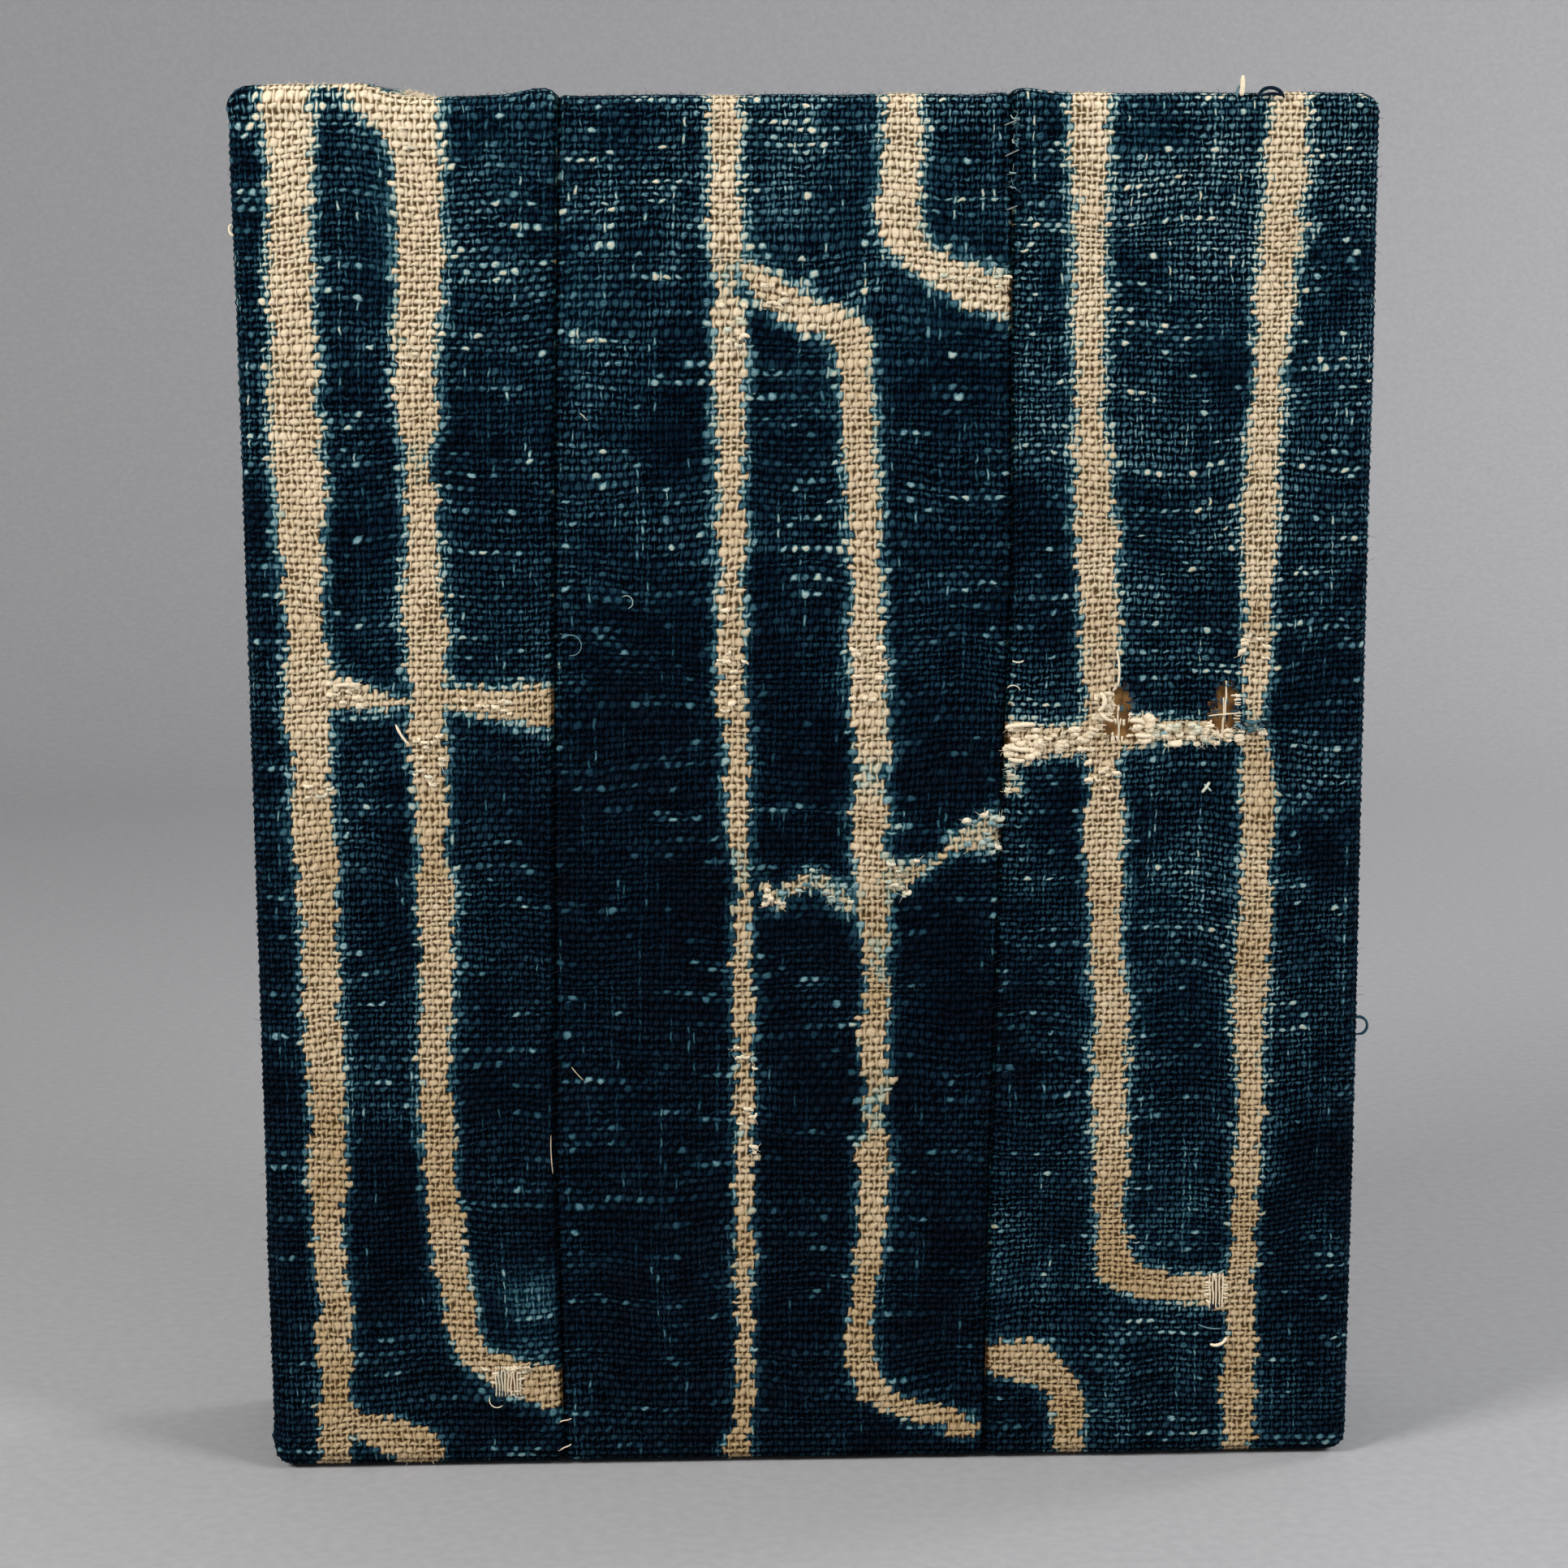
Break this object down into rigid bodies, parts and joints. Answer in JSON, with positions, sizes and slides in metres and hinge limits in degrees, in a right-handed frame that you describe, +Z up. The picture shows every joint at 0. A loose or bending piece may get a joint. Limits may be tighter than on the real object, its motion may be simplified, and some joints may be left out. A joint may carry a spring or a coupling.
{
  "type": "ndop cloth on a mounting panel",
  "caption": "Indigo resist-dyed strip cloth with cream lines, stretched over a wooden panel and turned over onto its back.",
  "frame": {"origin": "middle of the panel's footprint, on the surface that it stands on", "axes": "+X to the right across the face, +Y from the face to the back, +Z up along the strips"},
  "size_m": [0.2092, 0.0434, 0.2601],
  "materials": {
    "indigo_cloth": "matt coarse handwoven cotton, indigo with undyed cream lines",
    "brown_board": "plain brown board, dull",
    "pale_wood": "planed softwood, unfinished"
  },
  "bodies": {
    "root": {"strip_left": "indigo_cloth", "strip_middle": "indigo_cloth", "strip_right": "indigo_cloth", "panel_face": "brown_board", "bar_left": "pale_wood", "bar_right": "pale_wood", "bar_bottom": "pale_wood", "bar_top": "pale_wood"}
  },
  "joints": []
}
